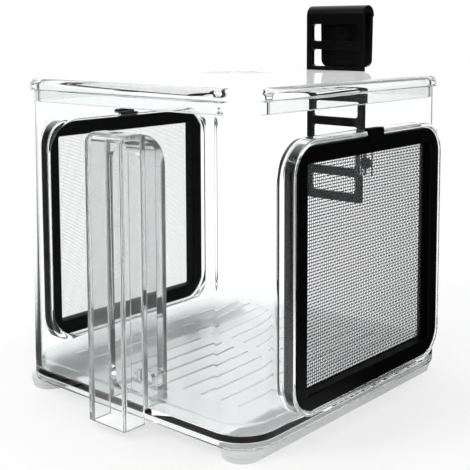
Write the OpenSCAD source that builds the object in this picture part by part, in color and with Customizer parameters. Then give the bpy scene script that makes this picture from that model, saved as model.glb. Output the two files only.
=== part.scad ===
// Clear fish breeding box with a lid, two screened windows, an air-lift column and a ladder hanger.
// Millimetres, +Z up. The origin is under the middle of the box, on the surface that it stands on.
// +X is the right window's side, -Y the column's side and +Y the hanger's side.

/* [Tank] */
// Width of the tank across its two windows
tank_w = 140; // [136:1:150]
// Depth of the tank from the column's wall to the hanger's wall
tank_d = 152; // [148:1:160]
// Height of the closed box, lid included
tank_h = 145; // [142:1:160]
// Outer radius of the upright corners
corner_r = 17; // [15:1:19]
// Thickness of the moulded walls
wall_t = 2.5; // [2:0.1:2.8]

/* [Windows] */
// Width of the black window frames
frame_w = 108; // [100:1:110]
// Height of the black window frames
frame_h = 106; // [100:0.5:107]
// Width of the frames' bars
frame_bar = 7; // [6:0.5:9]
// Squares of the screen along each edge
screen_gaps = 12; // [6:1:12]

/* [Air-lift column] */
// Width of the column
column_w = 22; // [20:1:26]
// Height of the column's flat top
column_top = 125; // [120:1:126]
// Radius of the hole for the air hose
hose_r = 3; // [2:0.1:3]

/* [Lid] */
// Radius of the lid's shallow dish at its rim
dish_r = 20; // [12:1:22]
// Depth of the dish
dish_depth = 1.2; // [0.8:0.2:1.6]
// Radius of the hole through the dish
dish_hole_r = 4; // [3:0.5:5]
// Radius of the rounding round the lid's top
lid_edge_r = 3.5; // [1:0.5:4]

/* [Floor grid] */
// Distance between neighbouring slots
slot_pitch = 10; // [8:1:12]
// Width of each slot
slot_w = 1.5; // [1:0.5:4]

/* [Hanger] */
// Width of the ladder strip
strip_w = 36; // [35:1:40]
// Number of ladder holes
ladder_holes = 7; // [3:1:7]
// Height from one ladder hole to the next
ladder_pitch = 13.4; // [13:0.1:13.4]
// Thickness of the strip
strip_t = 2.4; // [2:0.1:2.6]

/* [Hidden] */
$fn = 64;

// Colours
clear = [0.88, 0.92, 0.93, 0.35];
black = [0.06, 0.06, 0.065];

// Sides of the mirrored pairs
right = 1;
left = -1;

// A cut passes a face by this much
over = 1;

// Tank
half_w = tank_w / 2;
half_d = tank_d / 2;
inner_r = corner_r - wall_t;
skirt_z = 4.9;
floor_z = 7;
floor_top = 9.5;
lid_h = 5;
rim_z = tank_h - lid_h;

// Base runners
runner_x = 59.5;
runner_y = -2.5;
runner_w = 18;
runner_len = tank_d - 6;
runner_step_z = 2.5;
runner_inset = 0.8;

// Windows, whose depths are counted outwards from the wall's outer face
window_y = -1.5;
window_z = 69.2;
opening_w = frame_w - 2 * frame_bar;
opening_h = frame_h - 2 * frame_bar;
frame_r = 12;
opening_r = 1.2;
collar_gap = 0.3;
collar_t = 2;
collar_depth = 7.8;
seat_w = frame_w + 2 * collar_gap;
seat_h = frame_h + 2 * collar_gap;
stop_r = 15.5;
stop_front = 1.6;
frame_back = 1.7;
lip_t = 0.8;
groove_w = 0.8;
groove_depth = 3;
screen_t = 0.7;
screen_wire = 1.2;
screen_clearance = 0.2;
tab_w = 11.2;
tab_back = 5.5;
tab_front = 8.5;
tab_top = 3.5;
tab_notch_w = 12;
tab_notch_back = 5.1;

// Air-lift column
column_x = 3.5;
column_depth = 11.7;
column_wall = 2.2;
column_foot = 3;
column_edge_r = 4.6;
hose_y = -half_d - 4;
hood_depth = 14;
hood_rear_t = 4.5;
outlet_w = 10;
outlet_z = 18.2;
outlet_h = 6;
outlet_r = 1.8;
channel_w = column_w - 5;
channel_r = 4;
channel_z0 = 15;
channel_z1 = column_top - 8;

// Lid
lid_plate_t = 2.2;
lid_skirt_gap = 0.4;
lid_skirt_t = 2;
lid_skirt_drop = 5.6;
dish_x = -22;
dish_y = 24;
dish_sphere_r = (dish_r * dish_r + dish_depth * dish_depth) / (2 * dish_depth);

// Floor grid
grid_gap = 0.5;
grid_top = 14.9;
grid_plate_t = 2;
grid_rim_t = 2;
slot_rows = [[-58, -4], [4, 58]];
slot_span = 100;
notch_gap = 1;

// Hanger
strip_x = 1;
strip_gap = 1.2;
strip_bottom = 75.3;
bend_r = 5.25;
bend_z = 173.75;
hole_w = 29;
hole_h = 8.9;
hole_r = 1.6;
first_rung_z = 77.7;
rear_bottom = 146.4;
rear_top_w = 32;
rear_bottom_w = 31;
rear_corner_r = 4;
rear_x = 2.5;
near_y = half_d + strip_gap;
bend_y = near_y + bend_r;
rear_y = bend_y + bend_r - strip_t;

// Hook pad
pad_x = 1;
pad_z = 164.5;
pad_r = 4.8;
pad_t = 1;
pad_stem_r = 2.4;

// Guide clips and the rivet of the right one
clip_z0 = 90.5;
clip_z1 = 104.5;
clip_gap = 0.3;
clip_t = 1.6;
clip_depth = 5;
clip_lip_t = 1.1;
clip_lip_reach = 1.9;
clip_ear_w = 5.6;
clip_ear_t = 1.2;
rivet_inset = 3.1;
rivet_hole_r = 1.5;
rivet_shaft_r = 1.45;
rivet_head_r = 3.2;
rivet_head_t = 1.5;
rivet_tail_r = 2.2;
rivet_tail_t = 1;
rivet_z = (clip_z0 + clip_z1) / 2;
clip_edge = strip_w / 2 + clip_gap;
rivet_x = clip_edge + clip_t + rivet_inset;

// A flat rounded rectangle round the origin
module rounded_rect(w, h, r) {
    square([w - 2 * r, h], center = true);
    square([w, h - 2 * r], center = true);
    for (sx = [-1, 1], sy = [-1, 1])
        translate([sx * (w / 2 - r), sy * (h / 2 - r)])
            circle(r);
}

// A level rounded slab from z0 to z1
module level_slab(w, d, r, z0, z1) {
    translate([0, 0, z0])
        linear_extrude(z1 - z0)
            rounded_rect(w, d, r);
}

// A level rounded slab whose top edge is rounded all the way round
module soft_topped_slab(w, d, r, z0, z1, edge) {
    level_slab(w, d, r, z0, z1 - edge);
    level_slab(w - 2 * edge, d - 2 * edge, r - edge, z0, z1);
    translate([0, 0, z1 - edge]) {
        for (sx = [-1, 1], sy = [-1, 1])
            translate([sx * (w / 2 - r), sy * (d / 2 - r), 0])
                rotate_extrude()
                    translate([r - edge, 0])
                        quarter_disc(edge);
        for (turn = [0, 180]) {
            rotate([0, 0, turn])
                along_x(0, w - 2 * r)
                    translate([d / 2 - edge, 0])
                        quarter_disc(edge);
            rotate([0, 0, turn + 90])
                along_x(0, d - 2 * r)
                    translate([w / 2 - edge, 0])
                        quarter_disc(edge);
        }
    }
}

// A flat quarter of a disc, upwards and outwards from the origin
module quarter_disc(r) {
    intersection() {
        circle(r);
        square(r);
    }
}

// A slab that stands along Y and Z on the window's centre, from x0 to x1 off the tank's wall
module window_slab(w, h, r, x0, x1) {
    translate([half_w + x0, window_y, window_z])
        rotate([90, 0, 90])
            linear_extrude(x1 - x0)
                rounded_rect(w, h, r);
}

// A slab that stands along X and Z, from y0 to y1
module back_slab(x, z, w, h, r, y0, y1) {
    translate([x, y1, z])
        rotate([90, 0, 0])
            linear_extrude(y1 - y0)
                rounded_rect(w, h, r);
}

// An outline drawn in Y and Z, extruded along X over a width
module along_x(x, w) {
    translate([x - w / 2, 0, 0])
        rotate([90, 0, 90])
            linear_extrude(w)
                children();
}

// A round bar along Y, from y0 to y1
module bar_y(x, z, r, y0, y1) {
    translate([x, y1, z])
        rotate([90, 0, 0])
            cylinder(h = y1 - y0, r = r);
}

// The right-hand shape as drawn, or its mirror image for the left
module on_side(side) {
    if (side == right)
        children();
    else
        mirror([1, 0, 0])
            children();
}

// The same about the ladder strip's middle plane
module beside_strip(side) {
    translate([strip_x, 0, 0])
        on_side(side)
            children();
}

module tank_body() {
    color(clear)
        difference() {
            level_slab(tank_w, tank_d, corner_r, skirt_z, rim_z);
            level_slab(tank_w - 2 * wall_t, tank_d - 2 * wall_t, inner_r, floor_top, rim_z + over);
            level_slab(tank_w - 2 * wall_t, tank_d - 2 * wall_t, inner_r, skirt_z - over, floor_z);
            for (side = [right, left])
                on_side(side)
                    window_slab(seat_w, seat_h, stop_r, -wall_t - over, over);
            back_slab(column_x, (channel_z0 + channel_z1) / 2, channel_w, channel_z1 - channel_z0,
                      channel_r, -half_d - over, -half_d + wall_t + over);
            beside_strip(right)
                bar_y(rivet_x, rivet_z, rivet_hole_r, half_d - wall_t - over, half_d + over);
        }
}

// One base runner, with round ends and a lower step that is drawn in
module base_runner(side) {
    color(clear)
        translate([side * runner_x, runner_y, 0]) {
            level_slab(runner_w - 2 * runner_inset, runner_len - 2 * runner_inset,
                       runner_w / 2 - runner_inset - 0.1, 0, runner_step_z);
            level_slab(runner_w, runner_len, runner_w / 2 - 0.1, runner_step_z, skirt_z);
        }
}

// The raised ring that a window frame presses into, with a stop behind the frame in each corner
module window_collar(side) {
    color(clear)
        on_side(side)
            difference() {
                window_slab(seat_w + 2 * collar_t, seat_h + 2 * collar_t,
                            frame_r + collar_gap + collar_t, 0, collar_depth);
                window_slab(seat_w, seat_h, frame_r + collar_gap, stop_front, collar_depth + over);
                window_slab(seat_w, seat_h, stop_r, -over, stop_front + over);
                translate([half_w + tab_notch_back, window_y - tab_notch_w / 2, window_z])
                    cube([collar_depth, tab_notch_w, frame_h]);
            }
}

// The black frame, moulded round the screen's edge, with a pull tab on top
module window_frame(side) {
    color(black)
        on_side(side) {
            difference() {
                window_slab(frame_w, frame_h, frame_r, frame_back, collar_depth);
                window_slab(opening_w, opening_h, opening_r, -over, collar_depth + over);
                window_slab(opening_w + 2 * groove_depth, opening_h + 2 * groove_depth, opening_r,
                            frame_back + lip_t, frame_back + lip_t + groove_w);
            }
            translate([half_w + tab_back, window_y - tab_w / 2, window_z + frame_h / 2 - over])
                cube([tab_front - tab_back, tab_w, tab_top + over]);
        }
}

// The screen, a flat net whose squares are drawn larger than the woven ones
module window_mesh(side, shade) {
    gap_w = opening_w / screen_gaps - screen_wire;
    gap_h = opening_h / screen_gaps - screen_wire;
    screen_w = opening_w + 2 * (groove_depth - screen_clearance);
    screen_h = opening_h + 2 * (groove_depth - screen_clearance);
    front = frame_back + lip_t + groove_w;
    color(shade)
        on_side(side)
            translate([half_w + front - screen_t, window_y, window_z])
                rotate([90, 0, 90])
                    linear_extrude(screen_t)
                        difference() {
                            rounded_rect(screen_w, screen_h, opening_r - screen_clearance);
                            for (i = [0 : screen_gaps - 1], j = [0 : screen_gaps - 1])
                                translate([(i + 0.5) * opening_w / screen_gaps - opening_w / 2,
                                           (j + 0.5) * opening_h / screen_gaps - opening_h / 2])
                                    square([gap_w, gap_h], center = true);
                        }
}

// The column's outer half on the front wall, open below and towards the wall
module column_outer() {
    front = -half_d - column_depth;
    color(clear)
        difference() {
            along_x(column_x, column_w)
                union() {
                    translate([front, column_foot])
                        square([column_depth, column_top - column_foot - column_edge_r]);
                    translate([front + column_edge_r, column_foot])
                        square([column_depth - column_edge_r, column_top - column_foot]);
                    translate([front + column_edge_r, column_top - column_edge_r])
                        circle(column_edge_r);
                }
            along_x(column_x, column_w - 2 * column_wall)
                union() {
                    translate([front + column_wall, 0])
                        square([column_depth, column_top - column_edge_r]);
                    translate([front + column_edge_r, 0])
                        square([column_depth, column_top - column_wall]);
                    translate([front + column_edge_r, column_top - column_edge_r])
                        circle(column_edge_r - column_wall);
                }
            translate([column_x, hose_y, column_top - column_wall - over])
                cylinder(h = column_wall + 2 * over, r = hose_r);
        }
}

// The column's inner half, a hood whose top runs back in a quarter round
module column_inner() {
    wall_face = -half_d + wall_t;
    arc_z = column_top - hood_depth;
    color(clear)
        difference() {
            along_x(column_x, column_w)
                intersection() {
                    union() {
                        translate([-half_d, arc_z])
                            circle(hood_depth, $fn = 96);
                        translate([-half_d, floor_top])
                            square([hood_depth, arc_z - floor_top]);
                    }
                    translate([wall_face, floor_top])
                        square([hood_depth, column_top]);
                }
            along_x(column_x, column_w - 2 * column_wall)
                intersection() {
                    union() {
                        translate([-half_d, arc_z])
                            circle(hood_depth - column_wall, $fn = 96);
                        translate([-half_d, floor_top - over])
                            square([hood_depth - column_wall, arc_z - floor_top + over]);
                    }
                    translate([wall_face - over, floor_top - over])
                        square([hood_depth - wall_t - hood_rear_t + over, column_top]);
                }
            back_slab(column_x, outlet_z, outlet_w, outlet_h, outlet_r,
                      -half_d + hood_depth - hood_rear_t - over, -half_d + hood_depth + over);
        }
}

// The lid with a skirt inside the tank's walls and a shallow dish round a hole
module lid() {
    skirt_out = 2 * (wall_t + lid_skirt_gap);
    skirt_in = skirt_out + 2 * lid_skirt_t;
    color(clear)
        difference() {
            union() {
                soft_topped_slab(tank_w, tank_d, corner_r, rim_z, tank_h, lid_edge_r);
                level_slab(tank_w - skirt_out, tank_d - skirt_out, inner_r - lid_skirt_gap,
                           rim_z - lid_skirt_drop, rim_z + over);
            }
            level_slab(tank_w - skirt_in, tank_d - skirt_in, inner_r - lid_skirt_gap - lid_skirt_t,
                       rim_z - lid_skirt_drop - over, tank_h - lid_plate_t);
            translate([dish_x, dish_y, tank_h - dish_depth + dish_sphere_r])
                sphere(dish_sphere_r, $fn = 256);
            translate([dish_x, dish_y, rim_z - over])
                cylinder(h = lid_h + 2 * over, r = dish_hole_r);
        }
}

// The slotted floor that lies on the tank's own floor and stops short of the column
module floor_grid() {
    grid_w = tank_w - 2 * (wall_t + grid_gap);
    grid_d = tank_d - 2 * (wall_t + grid_gap);
    grid_r = inner_r - grid_gap;
    notch_w = column_w + 2 * notch_gap;
    columns = floor(slot_span / slot_pitch / 2);
    color(clear)
        difference() {
            level_slab(grid_w, grid_d, grid_r, floor_top, grid_top);
            level_slab(grid_w - 2 * grid_rim_t, grid_d - 2 * grid_rim_t, grid_r - grid_rim_t,
                       floor_top - over, grid_top - grid_plate_t);
            translate([column_x - notch_w / 2, -half_d, floor_top - over])
                cube([notch_w, hood_depth + notch_gap, grid_top]);
            for (i = [-columns : columns], row = slot_rows)
                translate([i * slot_pitch, (row[0] + row[1]) / 2, 0])
                    level_slab(slot_w, row[1] - row[0], slot_w / 2 - 0.01, floor_top, grid_top + over);
        }
}

// The ladder strip, bent over the glass of the big tank
module hanger() {
    color(black)
        difference() {
            union() {
                translate([strip_x - strip_w / 2, near_y, strip_bottom])
                    cube([strip_w, strip_t, bend_z - strip_bottom]);
                along_x(strip_x, strip_w)
                    intersection() {
                        difference() {
                            translate([bend_y, bend_z])
                                circle(bend_r);
                            translate([bend_y, bend_z])
                                circle(bend_r - strip_t);
                        }
                        translate([near_y, bend_z])
                            square([2 * bend_r, bend_r]);
                    }
                translate([rear_x, rear_y + strip_t, 0])
                    rotate([90, 0, 0])
                        linear_extrude(strip_t)
                            rear_plate_outline();
            }
            for (i = [0 : ladder_holes - 1])
                back_slab(strip_x, first_rung_z + (i + 0.5) * ladder_pitch, hole_w, hole_h, hole_r,
                          near_y - over, near_y + strip_t + over);
            bar_y(pad_x, pad_z, pad_stem_r, rear_y - over, rear_y + strip_t + over);
        }
}

// The rear plate narrows downwards and ends in two round corners
module rear_plate_outline() {
    arc_z = rear_bottom + rear_corner_r;
    polygon([[-rear_bottom_w / 2, arc_z], [rear_bottom_w / 2, arc_z],
             [rear_top_w / 2, bend_z], [-rear_top_w / 2, bend_z]]);
    translate([-rear_bottom_w / 2 + rear_corner_r, rear_bottom])
        square([rear_bottom_w - 2 * rear_corner_r, rear_corner_r]);
    for (s = [-1, 1])
        translate([s * (rear_bottom_w / 2 - rear_corner_r), arc_z])
            circle(rear_corner_r);
}

// The pad that grips the glass, with a stem through the rear plate
module hook_pad() {
    color([0.09, 0.09, 0.09]) {
        bar_y(pad_x, pad_z, pad_r, rear_y - pad_t, rear_y);
        bar_y(pad_x, pad_z, pad_stem_r - 0.05, rear_y - pad_t / 2, rear_y + strip_t);
    }
}

// An L-shaped clip that keeps the strip close to the back wall
module guide_clip(side) {
    color(clear)
        beside_strip(side)
            difference() {
                union() {
                    translate([clip_edge, half_d, clip_z0])
                        cube([clip_t, clip_depth, clip_z1 - clip_z0]);
                    translate([clip_edge - clip_gap - clip_lip_reach, half_d + clip_depth - clip_lip_t, clip_z0])
                        cube([clip_gap + clip_lip_reach + clip_t, clip_lip_t, clip_z1 - clip_z0]);
                    translate([clip_edge, half_d, clip_z0])
                        cube([clip_t + clip_ear_w, clip_ear_t, clip_z1 - clip_z0]);
                }
                if (side == right)
                    bar_y(rivet_x, rivet_z, rivet_hole_r, half_d - over, half_d + clip_ear_t + over);
            }
}

// The push rivet of the right clip, with its head inside the tank
module guide_rivet() {
    inside = half_d - wall_t;
    outside = half_d + clip_ear_t;
    color(black)
        beside_strip(right) {
            bar_y(rivet_x, rivet_z, rivet_head_r, inside - rivet_head_t, inside);
            bar_y(rivet_x, rivet_z, rivet_shaft_r, inside - rivet_head_t / 2, outside + rivet_tail_t / 2);
            bar_y(rivet_x, rivet_z, rivet_tail_r, outside, outside + rivet_tail_t);
        }
}

tank_body();
base_runner(right);  // base_runner_right
base_runner(left);  // base_runner_left
window_collar(right);  // window_collar_right
window_collar(left);  // window_collar_left
window_frame(right);  // window_frame_right
window_frame(left);  // window_frame_left
window_mesh(right, [0.35, 0.35, 0.36]);  // window_mesh_right
window_mesh(left, [0.45, 0.45, 0.46]);  // window_mesh_left
column_outer();
column_inner();
lid();
floor_grid();
hanger();
hook_pad();
guide_clip(right);  // guide_clip_right
guide_clip(left);  // guide_clip_left
guide_rivet();
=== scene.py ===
# A clear fish breeding box: moulded tank and lid, screened windows, air-lift column, ladder hanger.
# Lengths are metres, written as millimetres times MM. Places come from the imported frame.
import math

import bmesh
import bpy
from bpy.props import FloatProperty, FloatVectorProperty, IntProperty, PointerProperty
from bpy.types import Operator, Panel, PropertyGroup
from mathutils import Matrix, Vector


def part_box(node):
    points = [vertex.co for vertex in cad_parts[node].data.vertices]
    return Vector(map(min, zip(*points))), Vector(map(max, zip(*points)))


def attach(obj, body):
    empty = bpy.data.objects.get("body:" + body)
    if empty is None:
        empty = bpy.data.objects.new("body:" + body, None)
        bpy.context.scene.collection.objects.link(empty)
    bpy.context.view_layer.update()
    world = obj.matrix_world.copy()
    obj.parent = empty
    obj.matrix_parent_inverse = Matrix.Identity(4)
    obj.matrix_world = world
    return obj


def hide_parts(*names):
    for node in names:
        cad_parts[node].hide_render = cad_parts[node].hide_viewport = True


bl_info = {
    "name": "Fish Breeding Box",
    "version": (1, 0, 0),
    "blender": (4, 5, 0),
    "location": "View3D > Sidebar > Breeding Box",
    "description": "Builds a clear fish breeding box round its packed frame",
    "category": "Add Mesh",
}

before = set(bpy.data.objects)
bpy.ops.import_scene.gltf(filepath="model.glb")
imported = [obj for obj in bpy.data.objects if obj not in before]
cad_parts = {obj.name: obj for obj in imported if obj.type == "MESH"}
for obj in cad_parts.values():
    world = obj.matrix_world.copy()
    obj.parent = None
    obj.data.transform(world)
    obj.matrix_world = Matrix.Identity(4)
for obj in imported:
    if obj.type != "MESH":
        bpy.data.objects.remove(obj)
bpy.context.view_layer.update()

MM = 0.001
SIDES = {"right": 1, "left": -1}
# Air left between clear pieces that rest on each other, so that each keeps its own surface
AIR = 0.03 * MM
# How far a cutter runs past the surface that it cuts
PAST = 1 * MM
# How bright the studio's two black cards are, which only mirrored or bent rays see: dark in the
# world, and painted on the floor as dark reflections
CARD = 0.05
# How much brighter than paper white the studio is behind and round the clear walls
BACKLIGHT = 1.3
# Least corner radius of an outline that is drawn in
LEAST_RADIUS = 0.3 * MM
# Corner radius that is left where a swept plate closes in one flat face
CORE_RADIUS = 3 * MM
# Radius of the rivet's hole, in the tank's wall and in the clip
RIVET_HOLE = 1.5 * MM


def linear(code):
    """An sRGB hex colour as the linear one that Blender's sockets take."""
    parts = [int(code[at:at + 2], 16) / 255 for at in (1, 3, 5)]
    return [c / 12.92 if c <= 0.04045 else ((c + 0.055) / 1.055) ** 2.4 for c in parts] + [1.0]


def length(label, about, millimetres):
    """A size in the panel."""
    return FloatProperty(name=label, description=about, default=millimetres * MM, unit="LENGTH")


def tint(label, about, code):
    """A colour in the panel."""
    return FloatVectorProperty(name=label, description=about, default=linear(code), size=4,
                               subtype="COLOR", min=0, max=1)


class TankSizes(PropertyGroup):
    """The tank, its runners, the floor grid and the lid."""

    wall: length("Wall", "Thickness of the moulded walls", 2.5)
    corner: length("Corner", "Outer radius of the upright corners", 17)
    floor_under: length("Floor, underside", "Height of the floor's underside", 7)
    floor_top: length("Floor, top", "Height of the floor's upper face", 9.5)
    edge: length("Edge", "Rounding of the tank's open edges", 0.6)
    floor_fillet: length("Floor fillet", "Rounding between the floor and the walls", 1.2)
    opening_round: length("Opening edge", "Rounding of the windows' inner edges", 2)
    runner_step: length("Runner step", "Height of the runners' drawn-in foot", 2.5)
    runner_inset: length("Runner inset", "How far that foot is drawn in", 0.8)
    grid_plate: length("Grid plate", "Thickness of the floor grid", 2)
    slot: length("Slot", "Width of the grid's slots", 1.5)
    slot_pitch: length("Slot pitch", "From one slot to the next", 10)
    lid_plate: length("Lid plate", "Thickness of the lid's top", 2.2)
    lid_edge: length("Lid edge", "Rounding round the lid's top", 3.5)
    skirt_gap: length("Skirt gap", "Air between the lid's skirt and the tank's wall", 0.4)
    skirt: length("Skirt", "Thickness of the lid's skirt", 2)
    dish: length("Dish", "Radius of the lid's dish at its rim", 20)
    dish_depth: length("Dish depth", "Depth of the dish", 1.2)
    dish_hole: length("Dish hole", "Radius of the hole in the dish", 4)
    dish_x: length("Dish X", "Place of the dish across the lid", -22)
    dish_y: length("Dish Y", "Place of the dish along the lid", 24)


class WindowSizes(PropertyGroup):
    """The collars, frames and screens of the two windows."""

    collar: length("Collar", "Thickness of the clear collar round a frame", 2)
    gap: length("Gap", "Air between a frame and its collar", 0.3)
    stop: length("Stop", "Thickness of the collar's stops behind the frame's corners", 1.6)
    stop_corner: length("Stop corner", "Radius of the opening whose corners leave the stops", 15.5)
    bar: length("Bar", "Width of the black frames' bars", 7)
    corner: length("Corner", "Outer radius of the frames' corners", 12)
    inner_corner: length("Inner corner", "Radius of the frames' inner corners", 1.2)
    lip: length("Lip", "Thickness of a frame behind its screen", 0.8)
    groove: length("Groove", "Width of the groove that holds the screen", 0.8)
    lap: length("Lap", "How far the screen reaches into the bars", 3)
    tab: length("Tab", "Width of the pull tab", 11.2)
    notch: length("Notch", "Width of the collar's notch for the tab", 12)
    pitch: length("Mesh pitch", "From one wire of the right screen to the next", 1.3)
    wire: length("Wire", "Diameter of the right screen's wires", 0.41)
    fine_pitch: length("Fine pitch", "From one wire of the left screen to the next", 0.7)
    fine_wire: length("Fine wire", "Diameter of the left screen's wires", 0.12)


class ColumnSizes(PropertyGroup):
    """The two halves of the air-lift column."""

    wall: length("Wall", "Thickness of the column's walls", 2.2)
    front_round: length("Front rounding", "Radius of the edge between front and top", 4.6)
    hood_round: length("Hood rounding", "Radius of the hood's rounded back", 14)
    hood_back: length("Hood back", "Thickness of the hood's back wall", 4.5)
    hose: length("Hose hole", "Radius of the hole for the air hose", 3)
    hose_in: length("Hose place", "From the tank's wall out to the hole", 4)
    outlet_width: length("Outlet width", "Width of the hood's outlet", 10)
    outlet_height: length("Outlet height", "Height of the hood's outlet", 6)
    outlet_z: length("Outlet place", "Height of the middle of the outlet", 18.2)
    edge: length("Edge", "Rounding of the column's edges", 0.45)


class HangerSizes(PropertyGroup):
    """The ladder hanger with its pad, clips and rivet."""

    thickness: length("Thickness", "Thickness of the strip", 2.4)
    bend: length("Bend", "Outer radius of the bend over the glass", 5.25)
    holes: IntProperty(name="Holes", description="Ladder holes in the strip", default=7,
                       min=3, max=7)
    pitch: length("Rung pitch", "From one rung of the ladder to the next", 13.4)
    hole_width: length("Hole width", "Width of the ladder holes", 29)
    hole_height: length("Hole height", "Height of the ladder holes", 8.9)
    first_rung: length("First rung", "Height of the lowest rung's middle", 77.7)
    edge: length("Edge", "Rounding of the strip's edges", 0.45)


class Finishes(PropertyGroup):
    """Colours of the materials."""

    clear: tint("Clear plastic", "Tint of the clear mouldings", "#FCFDFD")
    black: tint("Black plastic", "Colour of the window frames", "#030304")
    hanger: tint("Hanger plastic", "Colour of the ladder hanger", "#050506")
    steel: tint("Steel wire", "Colour of the right screen", "#57595C")
    fine_steel: tint("Fine steel wire", "Colour of the left screen", "#3A3B3D")
    rubber: tint("Rubber", "Colour of the hook's pad", "#0B0B0B")


# Materials

def add(tree, kind, sockets=None, **settings):
    """Adds a shader node with its settings, and sets or links its sockets."""
    node = tree.nodes.new("ShaderNode" + kind)
    for name, value in settings.items():
        setattr(node, name, value)
    for name, value in (sockets or {}).items():
        if isinstance(value, bpy.types.NodeSocket):
            tree.links.new(value, node.inputs[name])
        else:
            node.inputs[name].default_value = value
    return node


def material(name):
    """A new material with an empty node tree but for its output, and that output's node."""
    made = bpy.data.materials.new(name)
    made.use_nodes = True
    made.node_tree.nodes.clear()
    return made, made.node_tree, made.node_tree.nodes.new("ShaderNodeOutputMaterial")


def scaled(colour, factor):
    """A colour made darker or lighter by a factor."""
    return [min(1.0, channel * factor) for channel in colour[:3]] + [1.0]


def clear_moulding(name, colour, roughness, ripple_mm, ripple_depth_mm, haze=0.0, milk=0.0,
                   ior=1.42):
    """Clear styrene, injection moulded in a polished tool."""
    made, tree, output = material(name)
    place = add(tree, "TexCoord").outputs["Object"]
    # Melt that cools unevenly leaves long shallow ripples, which bend what shows through the wall
    ripple = add(tree, "TexNoise", {"Vector": place, "Scale": 1 / (ripple_mm * MM), "Detail": 1.0})
    bump = add(tree, "Bump", {"Height": ripple.outputs["Fac"], "Strength": 1.0,
                              "Distance": ripple_depth_mm * MM})
    # Thick spots of the moulding look a trace greyer than thin ones
    cloud = add(tree, "TexNoise", {"Vector": place, "Scale": 1 / (40 * MM), "Detail": 0.0})
    shade = add(tree, "Mix", {"Factor": cloud.outputs["Fac"], "A": colour,
                              "B": scaled(colour, 0.985)}, data_type="RGBA")
    # Styrene's own index is 1.59. Pieces that show through other walls take a lower, matched one,
    # because their many edges would turn black. The sheen is the thin veil of handled plastic,
    # and milk makes it cloudy
    plastic = add(tree, "BsdfPrincipled", {"Base Color": shade.outputs["Result"],
                                           "Transmission Weight": 1 - milk,
                                           "IOR": ior, "Roughness": roughness,
                                           "Sheen Weight": haze, "Sheen Roughness": 0.3,
                                           "Normal": bump.outputs["Normal"]})
    tree.links.new(plastic.outputs["BSDF"], output.inputs["Surface"])
    return made


def grained_plastic(name, colour, roughness, shine, grain_mm, grain_depth_mm):
    """Black ABS, polypropylene, nylon or rubber, moulded in a spark-eroded tool."""
    made, tree, output = material(name)
    place = add(tree, "TexCoord").outputs["Object"]
    # The tool's grain is about 0.1 mm, and is drawn several times as coarse so that it shows
    grain = add(tree, "TexNoise", {"Vector": place, "Scale": 1 / (grain_mm * MM), "Detail": 3.0})
    bump = add(tree, "Bump", {"Height": grain.outputs["Fac"], "Strength": 0.4,
                              "Distance": grain_depth_mm * MM})
    # Handling polishes it in patches, which breaks up the sheen
    wear = add(tree, "TexNoise", {"Vector": place, "Scale": 1 / (14 * MM), "Detail": 2.0})
    rough = add(tree, "MapRange", {"Value": wear.outputs["Fac"], "To Min": roughness * 0.85,
                                   "To Max": roughness * 1.2})
    shade = add(tree, "MapRange", {"Value": wear.outputs["Fac"], "To Min": 0.8, "To Max": 1.25})
    base = add(tree, "VectorMath", {0: colour[:3], "Scale": shade.outputs["Result"]},
               operation="SCALE")
    plastic = add(tree, "BsdfPrincipled", {"Base Color": base.outputs["Vector"],
                                           "Roughness": rough.outputs["Result"],
                                           "Specular IOR Level": shine, "IOR": 1.5,
                                           "Normal": bump.outputs["Normal"]})
    tree.links.new(plastic.outputs["BSDF"], output.inputs["Surface"])
    return made


def drawn_wire(name, colour, roughness, streak_mm):
    """Drawn stainless steel wire, crossed into a screen."""
    made, tree, output = material(name)
    place = add(tree, "TexCoord").outputs["Object"]
    # Each strand takes the light a little differently, in patches a few meshes wide
    patch = add(tree, "TexNoise", {"Vector": place, "Scale": 1 / (streak_mm * MM), "Detail": 3.0})
    shade = add(tree, "MapRange", {"Value": patch.outputs["Fac"], "To Min": 0.75, "To Max": 1.3})
    base = add(tree, "VectorMath", {0: colour[:3], "Scale": shade.outputs["Result"]},
               operation="SCALE")
    wire = add(tree, "BsdfPrincipled", {"Base Color": base.outputs["Vector"],
                                        "Metallic": 1.0, "Roughness": roughness})
    tree.links.new(wire.outputs["BSDF"], output.inputs["Surface"])
    return made


def studio_floor(name):
    """A matt white sweep. What the camera sees of it, or the clear plastic through its walls, is
    white; mirrored rays see it painted dark in the cards' two quarters.
    """
    made, tree, output = material(name)
    path = add(tree, "LightPath")
    polish = add(tree, "Math", {0: path.outputs["Is Glossy Ray"],
                                1: path.outputs["Is Transmission Ray"]}, operation="MAXIMUM")
    seen = add(tree, "Math", {0: path.outputs["Is Camera Ray"], 1: polish.outputs[0]},
               operation="MAXIMUM")
    place = add(tree, "TexCoord").outputs["Object"]
    # Painted dark reflection: seen in a mirror, the sweep is darkened to the cards' level in its
    # front left and back right quarters, where no card is built
    share = past_cards(tree, place, False)
    white = add(tree, "MapRange", {"Value": seen.outputs[0], "To Min": 0.85, "To Max": 1.0})
    tone = add(tree, "Math", {0: white.outputs["Result"], 1: share}, operation="MULTIPLY")
    paper = add(tree, "TexNoise", {"Vector": place, "Scale": 1 / (3 * MM)})
    fibre = add(tree, "Bump", {"Height": paper.outputs["Fac"], "Strength": 0.02,
                               "Distance": 0.05 * MM})
    card = add(tree, "BsdfDiffuse", {"Color": tone.outputs[0], "Normal": fibre.outputs["Normal"]})
    # A bright sweep washes out most of the shadow that the camera sees on it
    glow = add(tree, "Emission", {"Color": (1, 1, 1, 1), "Strength": share})
    wash = add(tree, "Math", {0: seen.outputs[0], 1: 0.6}, operation="MULTIPLY")
    sheet = add(tree, "MixShader", {0: wash.outputs[0], 1: card.outputs["BSDF"],
                                    2: glow.outputs["Emission"]})
    tree.links.new(sheet.outputs["Shader"], output.inputs["Surface"])
    return made


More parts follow.
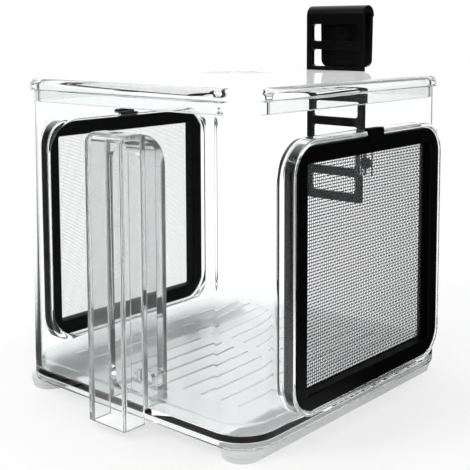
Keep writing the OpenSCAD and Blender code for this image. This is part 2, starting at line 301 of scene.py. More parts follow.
def past_cards(tree, way, bent):
    """How bright the studio is: white, but backlit behind clear walls and dark at a card.

    Mirrored rays see the cards. With bent, so do rays that an edge has bent aside.
    """
    # Black cards stand at the front left and the back right, as for any photo of clear plastic.
    # They are dark quarters of the white world, and painted dark quarters of the floor, that only
    # these rays see:
    # they keep the walls' polish from veiling what stands behind, and draw the dark edge lines
    path = add(tree, "LightPath")
    matt = add(tree, "Math", {0: path.outputs["Diffuse Depth"], 1: 0.5}, operation="LESS_THAN")
    turns = add(tree, "Math", {0: path.outputs["Glossy Depth"],
                               1: path.outputs["Transmission Depth"]}, operation="ADD")
    polish = add(tree, "Math", {0: path.outputs["Glossy Depth"], 1: 0.5},
                 operation="GREATER_THAN")
    walls = add(tree, "Math", {0: turns.outputs[0], 1: 0.5}, operation="GREATER_THAN")
    both = add(tree, "Math", {0: (walls if bent else polish).outputs[0], 1: matt.outputs[0]},
               operation="MULTIPLY")
    unit = add(tree, "VectorMath", {0: way}, operation="NORMALIZE")
    parts = add(tree, "SeparateXYZ", {"Vector": unit.outputs["Vector"]})
    corner = add(tree, "Math", {0: parts.outputs["X"], 1: parts.outputs["Y"]},
                 operation="MULTIPLY")
    cards = add(tree, "MapRange", {"Value": corner.outputs[0], "From Min": 0.0, "From Max": 0.25,
                                   "To Min": 0.0, "To Max": 1 - CARD})
    hidden_part = add(tree, "Math", {0: both.outputs[0], 1: cards.outputs["Result"]},
                      operation="MULTIPLY")
    left = add(tree, "Math", {0: 1.0, 1: hidden_part.outputs[0]}, operation="SUBTRACT")
    # The sweep is lit past white, as it is for a cut-out photo, so that two walls still show white
    behind = add(tree, "Math", {0: walls.outputs[0], 1: matt.outputs[0]}, operation="MULTIPLY")
    level = add(tree, "MapRange", {"Value": behind.outputs[0], "To Min": 1.0, "To Max": BACKLIGHT})
    share = add(tree, "Math", {0: left.outputs[0], 1: level.outputs["Result"]},
                operation="MULTIPLY")
    return share.outputs[0]


# Outlines and skins

def rounded_outline(width, height, radius, steps=10):
    """Points of a rounded rectangle round the origin."""
    radius = max(radius, LEAST_RADIUS)
    points = []
    for quarter, (sx, sy) in enumerate(((1, 1), (-1, 1), (-1, -1), (1, -1))):
        centre = Vector((sx * (width / 2 - radius), sy * (height / 2 - radius)))
        for step in range(steps + 1):
            angle = (quarter + step / steps) * math.pi / 2
            points.append(centre + radius * Vector((math.cos(angle), math.sin(angle))))
    return points


def circle(radius, steps=48):
    """Points of a circle round the origin."""
    return [radius * Vector((math.cos(angle), math.sin(angle)))
            for angle in (math.tau * step / steps for step in range(steps))]


def rounded(corners, closed=True, steps=4):
    """Points of a line through corners (x, y, radius), each turned with its radius."""
    points = []
    last = len(corners) - 1
    for at, (x, y, radius) in enumerate(corners):
        here = Vector((x, y))
        if radius == 0 or (not closed and at in (0, last)):
            points.append(here)
            continue
        back = (Vector(corners[at - 1][:2]) - here).normalized()
        onward = (Vector(corners[(at + 1) % len(corners)][:2]) - here).normalized()
        inside = back.angle(onward)
        centre = here + (back + onward).normalized() * radius / math.sin(inside / 2)
        reach = radius / math.tan(inside / 2)
        start = here + back * reach - centre
        end = here + onward * reach - centre
        swing = math.pi - inside
        for step in range(steps + 1):
            part = step / steps
            points.append(centre + (start * math.sin((1 - part) * swing)
                                    + end * math.sin(part * swing)) / math.sin(swing))
    return points


def upright(x=0.0, y=0.0):
    """Places an outline level, with its heights along Z."""
    return lambda a, b, level: Vector((x + a, y + b, level))


def outward(side, wall, centre):
    """Places an outline on a side wall, with its levels counted outwards from the wall."""
    return lambda a, b, level: Vector((side * (wall + level), centre.y + a, centre.z + b))


def across(a, b, level):
    """Places an outline drawn in Y and Z, with its levels along X."""
    return Vector((level, a, b))


def backward(x=0.0, z=0.0):
    """Places an outline drawn in X and Z, with its levels along Y."""
    return lambda a, b, level: Vector((x + a, level, z + b))


def skin(shape, rings, closed=False):
    """Faces between each ring of points and the next."""
    following = rings[1:] + rings[:1] if closed else rings[1:]
    for lower, upper in zip(rings, following):
        for at in range(len(lower)):
            shape.faces.new((lower[at - 1], lower[at], upper[at], upper[at - 1]))


def sweep(profile, outline, place, closed=False):
    """A solid whose profile of (inset, level) points runs round an outline."""
    shape = bmesh.new()
    rings = [[shape.verts.new(place(p.x, p.y, level)) for p in outline(inset)]
             for inset, level in profile]
    skin(shape, rings, closed)
    if not closed:
        shape.faces.new(rings[0])
        shape.faces.new(rings[-1])
    bmesh.ops.recalc_face_normals(shape, faces=shape.faces)
    return shape


def prism(outline, low, high, place):
    """An outline given thickness between two levels."""
    return sweep([(0, low), (0, high)], lambda inset: outline, place)


def block(low, high):
    """A plain block for cutting, between two corners."""
    outline = [Vector((low[0], low[1])), Vector((high[0], low[1])),
               Vector((high[0], high[1])), Vector((low[0], high[1]))]
    return prism(outline, low[2], high[2], upright())


def hidden(shape, name):
    """A shape as an object that only another shape uses."""
    mesh = bpy.data.meshes.new(name)
    shape.to_mesh(mesh)
    shape.free()
    made = bpy.data.objects.new(name, mesh)
    bpy.context.scene.collection.objects.link(made)
    return made


def settle(made):
    """Turns an object's modifiers into its mesh."""
    graph = bpy.context.evaluated_depsgraph_get()
    mesh = bpy.data.meshes.new_from_object(made.evaluated_get(graph))
    made.modifiers.clear()
    made.data = mesh


def combine(made, shapes, operation):
    """Joins shapes to an object or cuts them out of it."""
    for number, shape in enumerate(shapes):
        tool = hidden(shape, f"tool_{number}")
        step = made.modifiers.new("combine", "BOOLEAN")
        step.operation = operation
        step.solver = "EXACT"
        step.object = tool
        settle(made)
        bpy.data.objects.remove(tool)


def piece(name, shape, finish, body, nodes, joins=(), cuts=(), edge=0.0, sharp=38):
    """Makes a piece in place of its nodes, with its edges eased and its shading smooth."""
    made = hidden(shape, name)
    combine(made, joins, "UNION")
    combine(made, cuts, "DIFFERENCE")
    if edge:
        eased = made.modifiers.new("eased_edges", "BEVEL")
        eased.width = edge
        eased.segments = 3
        eased.limit_method = "ANGLE"
        eased.angle_limit = math.radians(sharp)
        settle(made)
    made.data.name = name
    made.data.materials.clear()
    made.data.materials.append(finish)
    made.data.shade_smooth()
    made.data.set_sharp_from_angle(angle=math.radians(sharp))
    even = made.modifiers.new("even_shading", "WEIGHTED_NORMAL")
    even.keep_sharp = True
    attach(made, body)
    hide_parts(*nodes)
    return made


# The moulded tank and what stands in it

def tank_outline(sizes, inset_from=0.0):
    """The tank's outline drawn in by an inset."""
    low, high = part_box("tank_body")
    width, depth = high.x - low.x, high.y - low.y

    def outline(inset):
        total = inset + inset_from
        return rounded_outline(width - 2 * total, depth - 2 * total, sizes.corner - total)
    return outline


def window_centre():
    """Middle of the windows, and the width and height over the collar."""
    low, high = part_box("window_collar_right")
    return (low + high) / 2, high.y - low.y, high.z - low.z


class TankOperator(Operator):
    """Builds the clear tank and its two runners"""

    bl_idname = "breeding_box.tank"
    bl_label = "Tank and runners"

    def execute(self, context):
        sizes = context.scene.box_tank
        panes = context.scene.box_windows
        column = context.scene.box_column
        finish = clear_moulding("Clear styrene, polished", context.scene.box_finishes.clear, 0.0,
                                22, 0.005, ior=1.3)
        low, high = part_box("tank_body")
        core = sizes.corner - CORE_RADIUS
        profile = rounded([
            (core, sizes.floor_under, 0),
            (sizes.wall, sizes.floor_under, sizes.edge),
            (sizes.wall, low.z, sizes.edge),
            (0, low.z, sizes.edge),
            (0, high.z - AIR, sizes.edge),
            (sizes.wall, high.z - AIR, sizes.edge),
            (sizes.wall, sizes.floor_top, sizes.floor_fillet),
            (core, sizes.floor_top, 0),
        ], closed=False)
        shape = sweep(profile, tank_outline(sizes), upright())
        cuts = []
        centre, collar_width, collar_height = window_centre()

        def opening(inset):
            return rounded_outline(collar_width - 2 * (panes.collar + inset),
                                   collar_height - 2 * (panes.collar + inset),
                                   panes.stop_corner - inset)
        # The openings' inner edges are well rounded, as the tank's mould draws them
        turns = [math.radians(angle) for angle in (90, 67.5, 45, 22.5, 0)]
        flare = [(-sizes.opening_round, -sizes.wall - PAST)] + [
            (-sizes.opening_round * (1 - math.cos(turn)),
             -sizes.wall + sizes.opening_round * (1 - math.sin(turn))) for turn in turns]
        for side in SIDES.values():
            cuts.append(sweep(flare + [(0, PAST)], opening, outward(side, high.x, centre)))
        # The water crosses the wall in a channel that is a little narrower than the column's hollow
        outer_low, outer_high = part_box("column_outer")
        channel_low = 15 * MM
        channel_high = outer_high.z - 8 * MM
        channel_play, channel_round = 0.6 * MM, 4 * MM
        channel = rounded_outline(outer_high.x - outer_low.x - 2 * column.wall - channel_play,
                                  channel_high - channel_low, channel_round)
        cuts.append(prism(channel, low.y - PAST, low.y + sizes.wall + PAST,
                          backward((outer_low.x + outer_high.x) / 2,
                                   (channel_low + channel_high) / 2)))
        rivet_low, rivet_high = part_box("guide_rivet")
        middle = (rivet_low + rivet_high) / 2
        cuts.append(prism(circle(RIVET_HOLE, 32), high.y - sizes.wall - PAST, high.y + PAST,
                          backward(middle.x, middle.z)))
        piece("tank_shell", shape, finish, "tank", ["tank_body"], cuts=cuts)
        satin = clear_moulding("Frosted styrene, runner", context.scene.box_finishes.clear,
                               0.3, 12, 0.004, haze=1.0, milk=0.6)
        for name in SIDES:
            self.runner(name, sizes, satin)
        return {"FINISHED"}

    def runner(self, name, sizes, finish):
        """One runner: a bar with round ends whose foot is drawn in."""
        low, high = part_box("base_runner_" + name)
        middle = (low + high) / 2
        width, depth = high.x - low.x, high.y - low.y
        core = width / 2 - 1 * MM
        profile = rounded([
            (core, low.z, 0),
            (sizes.runner_inset, low.z, 0.5 * MM),
            (sizes.runner_inset, sizes.runner_step, 0.3 * MM),
            (0, sizes.runner_step, 0.4 * MM),
            (0, high.z - AIR, 0.4 * MM),
            (core, high.z - AIR, 0),
        ], closed=False)
        shape = sweep(profile, lambda inset: rounded_outline(width - 2 * inset, depth - 2 * inset,
                                                             width / 2 - 0.1 * MM - inset),
                      upright(middle.x, middle.y))
        piece("runner_" + name, shape, finish, "tank", ["base_runner_" + name])


class GridOperator(Operator):
    """Builds the slotted grid that lies on the tank's floor"""

    bl_idname = "breeding_box.grid"
    bl_label = "Floor grid"

    def execute(self, context):
        sizes = context.scene.box_tank
        finish = clear_moulding("Frosted styrene, thin grid", context.scene.box_finishes.clear,
                                0.3, 16, 0.005, haze=1.0, ior=1.06)
        low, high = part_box("floor_grid")
        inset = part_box("tank_body")[1].x - high.x
        rim = 2 * MM
        core = sizes.corner - inset - CORE_RADIUS
        profile = rounded([
            (core, high.z, 0),
            (0, high.z, 0.6 * MM),
            (0, low.z + AIR, 0.8 * MM),
            (rim, low.z + AIR, 0.6 * MM),
            (rim, high.z - sizes.grid_plate, 0.6 * MM),
            (core, high.z - sizes.grid_plate, 0),
        ], closed=False)
        shape = sweep(profile, tank_outline(sizes, inset), upright())
        hood_low, hood_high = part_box("column_inner")
        play = 1 * MM
        cuts = [block((hood_low.x - play, low.y - PAST, low.z - PAST),
                      (hood_high.x + play, hood_high.y + play, high.z + PAST))]
        slot_length, row_middle, slots_reach = 54 * MM, 31 * MM, 50 * MM
        outline = rounded_outline(sizes.slot, slot_length, sizes.slot / 2 - 0.01 * MM, 6)
        reach = int(slots_reach / sizes.slot_pitch)
        for number in range(-reach, reach + 1):
            for row in (-1, 1):
                cuts.append(prism(outline, low.z - PAST, high.z + PAST,
                                  upright(number * sizes.slot_pitch, row * row_middle)))
        piece("slotted_floor", shape, finish, "grid", ["floor_grid"], cuts=cuts)
        return {"FINISHED"}


class LidOperator(Operator):
    """Builds the clear lid with its skirt, dish and finger hole"""

    bl_idname = "breeding_box.lid"
    bl_label = "Lid"

    def execute(self, context):
        sizes = context.scene.box_tank
        finish = clear_moulding("Clear styrene, lid", context.scene.box_finishes.clear, 0.0,
                                26, 0.005, haze=1.0, ior=1.59)
        low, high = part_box("lid")
        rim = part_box("tank_body")[1].z
        skirt_out = sizes.wall + sizes.skirt_gap
        skirt_in = skirt_out + sizes.skirt
        under = high.z - sizes.lid_plate
        core = skirt_in + 2 * MM
        profile = rounded([
            (core, high.z, 0),
            (0, high.z, sizes.lid_edge),
            (0, rim, 0.5 * MM),
            (skirt_out, rim, 0.4 * MM),
            (skirt_out, low.z, 0.6 * MM),
            (skirt_in, low.z, 0.6 * MM),
            (skirt_in, under, 1 * MM),
            (core, under, 0),
        ], closed=False, steps=6)
        shape = bmesh.new()
        outline = tank_outline(sizes)
        rings = [[shape.verts.new((p.x, p.y, level)) for p in outline(inset)]
                 for inset, level in profile]
        skin(shape, rings)
        dish = [[shape.verts.new((sizes.dish_x + p.x, sizes.dish_y + p.y, level))
                 for p in circle(radius, 72)] for radius, level in self.dish(sizes, high.z, under)]
        skin(shape, dish)
        for ring, hole in ((rings[0], dish[0]), (rings[-1], dish[-1])):
            edges = [shape.edges.get((loop[at - 1], loop[at]))
                     for loop in (ring, hole) for at in range(len(loop))]
            bmesh.ops.triangle_fill(shape, use_beauty=True, edges=edges)
        bmesh.ops.recalc_face_normals(shape, faces=shape.faces)
        piece("lid_shell", shape, finish, "lid", ["lid"])
        return {"FINISHED"}

    def dish(self, sizes, top, under):
        """The dish's section from its rim through the hole to the underside: (radius, height)."""
        ball = (sizes.dish ** 2 + sizes.dish_depth ** 2) / (2 * sizes.dish_depth)
        bottom = top - sizes.dish_depth

        def height(radius):
            return bottom + ball - math.sqrt(ball ** 2 - radius ** 2)
        bowl = [sizes.dish * part / 8 for part in range(7, 2, -1)]
        return rounded([
            (sizes.dish + 2 * MM, top, 0),
            (sizes.dish, top, 6 * MM),
            *[(radius, height(radius), 0) for radius in bowl],
            (sizes.dish_hole, height(sizes.dish_hole), 0.3 * MM),
            (sizes.dish_hole, under, 0.3 * MM),
            (sizes.dish_hole + 2 * MM, under, 0),
        ], closed=False, steps=4)


# The windows

class WindowsOperator(Operator):
    """Builds the clear collars and the black frames that press into them"""

    bl_idname = "breeding_box.windows"
    bl_label = "Collars and frames"

    def execute(self, context):
        colours = context.scene.box_finishes
        clear = clear_moulding("Clear styrene, collar", colours.clear, 0.0, 18, 0.004)
        black = grained_plastic("Black ABS, fine grain", colours.black, 0.42, 0.04, 1.1, 0.02)
        for name, side in SIDES.items():
            self.collar(name, side, context.scene.box_windows, clear)
            self.frame(name, side, context.scene.box_windows, black)
        return {"FINISHED"}

    def collar(self, name, side, sizes, finish):
        """A clear ring with a stop in each corner, notched above for the frame's tab."""
        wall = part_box("tank_body")[1].x
        centre, width, height = window_centre()
        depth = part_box("window_collar_right")[1].x - wall
        rim = 0.7 * MM
        profile = rounded([
            (0, AIR, 0.3 * MM),
            (0, depth, rim),
            (sizes.collar / 2, depth, 0),
        ], closed=False)
        corner = sizes.corner + sizes.gap + sizes.collar

        def outline(inset):
            return rounded_outline(width - 2 * inset, height - 2 * inset, corner - inset)
        place = outward(side, wall, centre)
        shape = sweep([(sizes.collar / 2, AIR)] + profile, outline, place)
        flare = [math.radians(angle) for angle in (0, 20, 40, 60, 85)]
        seat = sweep([(sizes.collar, sizes.stop)]
                     + [(sizes.collar - rim * (1 - math.cos(angle)),
                         depth - rim * (1 - math.sin(angle))) for angle in flare]
                     + [(sizes.collar - rim * (1 - math.cos(flare[-1])), depth + PAST)],
                     outline, place)
        opening = rounded_outline(width - 2 * sizes.collar, height - 2 * sizes.collar,
                                  sizes.stop_corner)
        through = prism(opening, AIR - PAST, sizes.stop + PAST, place)
        tab_room, notch_depth = 3.4 * MM, 2.4 * MM
        tab_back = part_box("window_frame_right")[1].x - tab_room
        xs = sorted((side * tab_back, side * (wall + depth + PAST)))
        cut = block((xs[0], centre.y - sizes.notch / 2, centre.z + height / 2 - notch_depth),
                    (xs[1], centre.y + sizes.notch / 2, centre.z + height / 2 + PAST))
        piece("collar_" + name, shape, finish, "tank", ["window_collar_" + name],
              cuts=[seat, through, cut])

    def frame(self, name, side, sizes, finish):
        """A black frame with a groove for the screen and a pull tab on top."""
        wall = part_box("tank_body")[1].x
        low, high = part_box("window_frame_right")
        centre, width, height = window_centre()
        width -= 2 * (sizes.collar + sizes.gap)
        height -= 2 * (sizes.collar + sizes.gap)
        back = low.x - wall
        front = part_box("window_collar_right")[1].x - wall
        edge = 0.7 * MM
        profile = rounded([
            (0, back, edge),
            (0, front, edge),
            (sizes.bar, front, edge),
            (sizes.bar, back + sizes.lip + sizes.groove, 0.1 * MM),
            (sizes.bar - sizes.lap, back + sizes.lip + sizes.groove, 0.1 * MM),
            (sizes.bar - sizes.lap, back + sizes.lip, 0.1 * MM),
            (sizes.bar, back + sizes.lip, 0.1 * MM),
            (sizes.bar, back, 0.3 * MM),
        ])

        def outline(inset):
            radius = sizes.inner_corner if inset > sizes.bar / 2 else sizes.corner - inset
            return rounded_outline(width - 2 * inset, height - 2 * inset, radius)
        shape = sweep(profile, outline, outward(side, wall, centre), closed=True)
        sunk, thick, tab_round = 2 * MM, 3 * MM, 1.2 * MM
        tab_middle = (high.z + centre.z + height / 2 - sunk) / 2
        tab = rounded_outline(sizes.tab, high.z - (centre.z + height / 2 - sunk), tab_round, 5)
        tab_place = outward(side, wall, Vector((0, centre.y, tab_middle)))
        tab_shape = prism(tab, high.x - wall - thick, high.x - wall, tab_place)
        piece("frame_" + name, shape, finish, "window_" + name,
              ["window_frame_" + name], joins=[tab_shape])


class ScreensOperator(Operator):
    """Builds the two screens, the right one woven and the left one laid"""

    bl_idname = "breeding_box.screens"
    bl_label = "Screens"

    def execute(self, context):
        sizes = context.scene.box_windows
        colours = context.scene.box_finishes
        steel = drawn_wire("Stainless wire, drawn", colours.steel, 0.25, 6)
        fine = drawn_wire("Stainless wire, finely drawn", colours.fine_steel, 0.4, 9)
        self.screen("right", 1, sizes.pitch, sizes.wire, True, steel, "steel_screen")
        self.screen("left", -1, sizes.fine_pitch, sizes.fine_wire, False, fine, "fine_screen")
        return {"FINISHED"}

    def screen(self, name, side, pitch, wire, woven, finish, slot):
        """One screen, whose edge lies in its frame's groove."""
        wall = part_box("tank_body")[1].x
        low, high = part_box("window_mesh_" + name)
        middle = (low + high) / 2
        place = outward(side, wall, middle)
        level = abs(middle.x) - wall
        half = wire / 2
        width, height = high.y - low.y, high.z - low.z
        counts = (int(height / pitch), int(width / pitch))
        shape = bmesh.new()
        for along in (True, False):
            count, others = counts if along else counts[::-1]
            for number in range(count):
                offset = (number - (count - 1) / 2) * pitch
                rings = []
                # A woven wire passes over one crossing wire and under the next, a laid one doesn't
                for crossing in range(-1, others + 1) if woven else (-1, others):
                    run = (crossing - (others - 1) / 2) * pitch
                    over = (number + crossing) % 2 == 0 if woven else True
                    lift = level + half * (1 if over == along else -1)
                    rings.append([
                        shape.verts.new(place(*((run, offset + turn * half) if along
                                                else (offset + turn * half, run)),
                                              lift + rise * half))
                        for turn, rise in ((1, 0), (0, 1), (-1, 0), (0, -1))])
                skin(shape, rings)
                shape.faces.new(rings[0])
                shape.faces.new(rings[-1])
        bmesh.ops.recalc_face_normals(shape, faces=shape.faces)
        piece("screen_" + name, shape, finish, "window_" + name, ["window_mesh_" + name],
              sharp=100)


# The air-lift column

class ColumnOperator(Operator):
    """Builds the outer half of the air-lift column and the hood inside the tank"""

    bl_idname = "breeding_box.column"
    bl_label = "Air-lift column"

    def execute(self, context):
        sizes = context.scene.box_column
        finish = clear_moulding("Clear styrene, column", context.scene.box_finishes.clear, 0.01,
                                14, 0.004, haze=1.0, milk=0.05, ior=1.5)
        self.outer(sizes, finish)
        self.hood(sizes, finish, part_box("tank_body")[0].y, context.scene.box_tank.wall)
        return {"FINISHED"}

    def outer(self, sizes, finish):
        """A channel closed above, with the hose's hole in its top."""
        low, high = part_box("column_outer")
        outline = rounded([
            (high.y - AIR, low.z, 0),
            (low.y, low.z, 0),
            (low.y, high.z, sizes.front_round),
            (high.y - AIR, high.z, 0),
        ], steps=10)
        hollow = rounded([
            (high.y + PAST, low.z - PAST, 0),
            (low.y + sizes.wall, low.z - PAST, 0),
            (low.y + sizes.wall, high.z - sizes.wall, sizes.front_round - sizes.wall),
            (high.y + PAST, high.z - sizes.wall, 0),
        ], steps=10)
        hose = prism(circle(sizes.hose), high.z - sizes.wall - PAST, high.z + PAST,
                     upright((low.x + high.x) / 2, high.y - sizes.hose_in))
        piece("column_front", prism(outline, low.x, high.x, across), finish, "tank",
              ["column_outer"], edge=sizes.edge,
              cuts=[prism(hollow, low.x + sizes.wall, high.x - sizes.wall, across), hose])

    def hood(self, sizes, finish, front_wall, wall):
        """The inner half, whose top runs back in a quarter round, with the outlet in its back."""
        low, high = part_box("column_inner")
        face = front_wall + wall + AIR

        def outline(radius, bottom, back, start):
            arc_z = high.z - sizes.hood_round
            points = [Vector((start, bottom)), Vector((back, bottom))]
            reach = math.acos(min(1.0, (back - front_wall) / radius))
            limit = math.acos((start - front_wall) / radius)
            steps = 14
            for step in range(steps + 1):
                angle = reach + (limit - reach) * step / steps
                points.append(Vector((front_wall + radius * math.cos(angle),
                                      arc_z + radius * math.sin(angle))))
            return points
        outer = outline(sizes.hood_round, low.z + AIR, high.y, face)
        inner = outline(sizes.hood_round - sizes.wall, low.z - PAST, high.y - sizes.hood_back,
                        front_wall + wall - PAST)
        outlet = rounded_outline(sizes.outlet_width, sizes.outlet_height, 1.8 * MM, 6)
        cuts = [prism(inner, low.x + sizes.wall, high.x - sizes.wall, across),
                prism(outlet, high.y - sizes.hood_back - PAST, high.y + PAST,
                      backward((low.x + high.x) / 2, sizes.outlet_z))]
        piece("column_hood", prism(outer, low.x, high.x, across), finish, "tank",
              ["column_inner"], edge=sizes.edge, cuts=cuts)


# The hanger

class HangerOperator(Operator):
    """Builds the black ladder hanger and the pad that grips the glass"""

    bl_idname = "breeding_box.hanger"
    bl_label = "Hanger and pad"

    def execute(self, context):
        sizes = context.scene.box_hanger
        colours = context.scene.box_finishes
        black = grained_plastic("Black polypropylene, satin", colours.hanger, 0.3, 0.2, 0.9, 0.02)
        low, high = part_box("hanger")
        pad_low, pad_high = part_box("hook_pad")
        pad = (pad_low + pad_high) / 2
        bend_z = high.z - sizes.bend
        thick = sizes.thickness
        bent = rounded([
            (low.y, low.z, 0),
            (low.y + thick, low.z, 0),
            (low.y + thick, high.z - thick, sizes.bend - thick - 0.01 * MM),
            (high.y - thick, high.z - thick, sizes.bend - thick - 0.01 * MM),
            (high.y - thick, bend_z - 0.5 * MM, 0),
            (high.y, bend_z - 0.5 * MM, 0),
            (high.y, high.z, sizes.bend),
            (low.y, high.z, sizes.bend),
        ], steps=10)
        # The plate behind the glass is a little wider above than below
        rear_low, rear_x, rear_round = 146.4 * MM, 2.5 * MM, 4 * MM
        half_top, half_bottom = 16 * MM, 15.5 * MM
        rear = rounded([
            (-half_bottom, rear_low, rear_round),
            (half_bottom, rear_low, rear_round),
            (half_top, bend_z, 0),
            (-half_top, bend_z, 0),
        ], steps=8)
        middle_x = (low.x + high.x) / 2
        hole = rounded_outline(sizes.hole_width, sizes.hole_height, 1.6 * MM, 5)
        cuts = []
        for number in range(sizes.holes):
            height = sizes.first_rung + (number + 0.5) * sizes.pitch
            cuts.append(prism(hole, low.y - PAST, low.y + thick + PAST, backward(middle_x, height)))
        stem_hole = 2.4 * MM
        cuts.append(prism(circle(stem_hole, 32), high.y - thick - PAST, high.y + PAST,
                          backward(pad.x, pad.z)))
        rear_plate = prism(rear, high.y - thick, high.y, backward(rear_x))
        piece("ladder_hanger", prism(bent, low.x, high.x, across), black, "hanger",
              ["hanger"], joins=[rear_plate], cuts=cuts, edge=sizes.edge)
        self.pad(pad_low, pad_high, colours.rubber)
        return {"FINISHED"}

    def pad(self, low, high, colour):
        """A rubber button with a stem through the hanger's rear plate."""
        rubber = grained_plastic("Black rubber, moulded", colour, 0.7, 0.1, 0.7, 0.03)
        radius = (high.x - low.x) / 2
        face = low.y + 1 * MM
        stem = 2.35 * MM
        profile = rounded([
            (0.4 * MM, low.y, 0),
            (radius * 0.75, low.y + 0.12 * MM, 0.5 * MM),
            (radius, face - 0.35 * MM, 0.3 * MM),
            (radius - 0.15 * MM, face, 0.1 * MM),
            (stem, face, 0.1 * MM),
            (stem, high.y, 0.4 * MM),
            (0.4 * MM, high.y, 0),
        ], closed=False)
        middle = (low + high) / 2
        shape = sweep(profile, circle, backward(middle.x, middle.z))
        piece("glass_pad", shape, rubber, "hanger", ["hook_pad"])


class ClipsOperator(Operator):
    """Builds the two clear clips of the ladder and the rivet of the right one"""

    bl_idname = "breeding_box.clips"
    bl_label = "Clips and rivet"

    def execute(self, context):
        colours = context.scene.box_finishes
        clear = clear_moulding("Clear styrene, clip", colours.clear, 0.02, 12, 0.004)
        black = grained_plastic("Black nylon, rivet", colours.hanger, 0.4, 0.15, 0.8, 0.02)
        strip_low, strip_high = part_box("hanger")
        strip_x = (strip_low.x + strip_high.x) / 2
        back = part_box("tank_body")[1].y
        for name, side in SIDES.items():
            self.clip(name, side, strip_x, back, clear)
        self.rivet(back - context.scene.box_tank.wall, black)
        return {"FINISHED"}

    def clip(self, name, side, strip_x, back, finish):
        """An ear on the wall, a leg beside the strip and a lip behind it."""
        low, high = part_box("guide_clip_" + name)
        near, far = sorted((abs(low.x - strip_x), abs(high.x - strip_x)))
        leg, leg_thick, ear, lip = near + 2.2 * MM, 1.6 * MM, 1.2 * MM, 1.1 * MM
        outline = rounded([
            (side * near, high.y, 0.3 * MM),
            (side * near, high.y - lip, 0.3 * MM),
            (side * leg, high.y - lip, 0.2 * MM),
            (side * leg, back + AIR, 0.2 * MM),
            (side * far, back + AIR, 0.2 * MM),
            (side * far, back + ear, 0.4 * MM),
            (side * (leg + leg_thick), back + ear, 0.4 * MM),
            (side * (leg + leg_thick), high.y, 0.5 * MM),
        ], steps=3)
        holes = []
        if name == "right":
            rivet_low, rivet_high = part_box("guide_rivet")
            rivet = (rivet_low + rivet_high) / 2
            holes.append(prism(circle(RIVET_HOLE, 32), back - PAST, back + ear + PAST,
                               backward(rivet.x, rivet.z)))
        piece("clip_" + name, prism(outline, low.z, high.z, upright(strip_x)), finish, "tank",
              ["guide_clip_" + name], cuts=holes, edge=0.2 * MM)

    def rivet(self, inner_face, finish):
        """A push rivet with a domed head inside the tank and a spread tail outside."""
        low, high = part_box("guide_rivet")
        middle = (low + high) / 2
        head = (high.x - low.x) / 2
        shaft, tail, tail_thick = 1.45 * MM, 2.2 * MM, 1 * MM
        profile = rounded([
            (0.3 * MM, low.y, 0),
            (head * 0.55, low.y + 0.12 * MM, 1 * MM),
            (head, inner_face - 0.5 * MM, 0.4 * MM),
            (head, inner_face - AIR, 0.15 * MM),
            (shaft, inner_face - AIR, 0.1 * MM),
            (shaft, high.y - tail_thick + AIR, 0.1 * MM),
            (tail, high.y - tail_thick + AIR, 0.2 * MM),
            (tail * 0.8, high.y, 0.3 * MM),
            (0.3 * MM, high.y, 0),
        ], closed=False)
        shape = sweep(profile, circle, backward(middle.x, middle.z))
        piece("clip_rivet", shape, finish, "tank", ["guide_rivet"])


# Stage

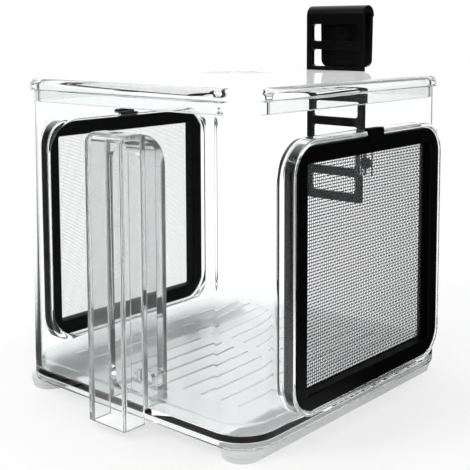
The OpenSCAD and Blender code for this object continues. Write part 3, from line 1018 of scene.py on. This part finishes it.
class StageOperator(Operator):
    """Sets the white floor, the soft light and the camera"""

    bl_idname = "breeding_box.stage"
    bl_label = "Stage"

    def execute(self, context):
        self.floor()
        self.light(context.scene)
        self.camera(context.scene)
        return {"FINISHED"}

    def floor(self):
        """A wide level sheet under the box."""
        half = 6.0
        shape = bmesh.new()
        shape.faces.new([shape.verts.new((x * half, y * half, -AIR))
                         for x, y in ((-1, -1), (1, -1), (1, 1), (-1, 1))])
        made = hidden(shape, "studio_floor")
        made.data.materials.append(studio_floor("Matt white paper"))

    def light(self, scene):
        """White all round, with a small lamp that draws the sheen of the black pieces."""
        world = bpy.data.worlds.new("White studio")
        scene.world = world
        world.use_nodes = True
        tree = world.node_tree
        tree.nodes.clear()
        share = past_cards(tree, add(tree, "TexCoord").outputs["Generated"], True)
        sky = add(tree, "Background", {"Color": (1, 1, 1, 1), "Strength": share})
        end = add(tree, "OutputWorld")
        tree.links.new(sky.outputs["Background"], end.inputs["Surface"])
        lamp = bpy.data.lights.new("Soft box", "AREA")
        lamp.shape = "RECTANGLE"
        lamp.size = 0.3
        lamp.size_y = 0.2
        lamp.energy = 1.9
        made = bpy.data.objects.new("Soft box", lamp)
        made.location = (-0.35, -0.75, 0.8)
        aim = Vector((0, 0, 0.1)) - made.location
        made.rotation_euler = aim.to_track_quat("-Z", "Y").to_euler()
        scene.collection.objects.link(made)
        scene.view_settings.view_transform = "Standard"
        # Clear walls seen edge on carry light through many reflections
        scene.cycles.max_bounces = 40
        scene.cycles.transmission_bounces = 40
        scene.cycles.glossy_bounces = 20
        scene.cycles.transparent_max_bounces = 32

    def camera(self, scene):
        """Stands a little above the lid, in front of the column's right."""
        right = Vector((0.7553, 0.6553, -0.0032)).normalized()
        up = Vector((-0.0631, 0.0776, 0.995)).normalized()
        turn = Matrix((right, up, right.cross(up))).transposed().to_4x4()
        turn.translation = Vector((295.4, -342.1, 167.6)) * MM
        lens = bpy.data.cameras.new("Camera")
        lens.lens = 73.48
        lens.sensor_width = 36
        lens.shift_y = -0.2364
        made = bpy.data.objects.new("Camera", lens)
        scene.collection.objects.link(made)
        made.matrix_world = turn
        scene.camera = made


GROUPS = {"box_tank": TankSizes, "box_windows": WindowSizes, "box_column": ColumnSizes,
          "box_hanger": HangerSizes, "box_finishes": Finishes}
OPERATORS = (StageOperator, TankOperator, GridOperator, LidOperator, WindowsOperator,
             ScreensOperator, ColumnOperator, HangerOperator, ClipsOperator)


class BoxPanel(Panel):
    """Sizes, colours and steps of the breeding box"""

    bl_idname = "VIEW3D_PT_breeding_box"
    bl_label = "Breeding Box"
    bl_space_type = "VIEW_3D"
    bl_region_type = "UI"
    bl_category = "Breeding Box"

    def draw(self, context):
        for operator in OPERATORS:
            self.layout.operator(operator.bl_idname)
        for group in GROUPS:
            box = self.layout.box()
            settings = getattr(context.scene, group)
            for setting in settings.__annotations__:
                box.prop(settings, setting)


def register():
    for name, group in GROUPS.items():
        bpy.utils.register_class(group)
        setattr(bpy.types.Scene, name, PointerProperty(type=group))
    for operator in OPERATORS:
        bpy.utils.register_class(operator)
    bpy.utils.register_class(BoxPanel)


def unregister():
    bpy.utils.unregister_class(BoxPanel)
    for operator in reversed(OPERATORS):
        bpy.utils.unregister_class(operator)
    for name, group in reversed(GROUPS.items()):
        delattr(bpy.types.Scene, name)
        bpy.utils.unregister_class(group)


def main():
    """Builds every piece in order."""
    register()
    for operator in OPERATORS:
        group, step = operator.bl_idname.split(".")
        getattr(getattr(bpy.ops, group), step)()


if __name__ == "__main__":
    main()
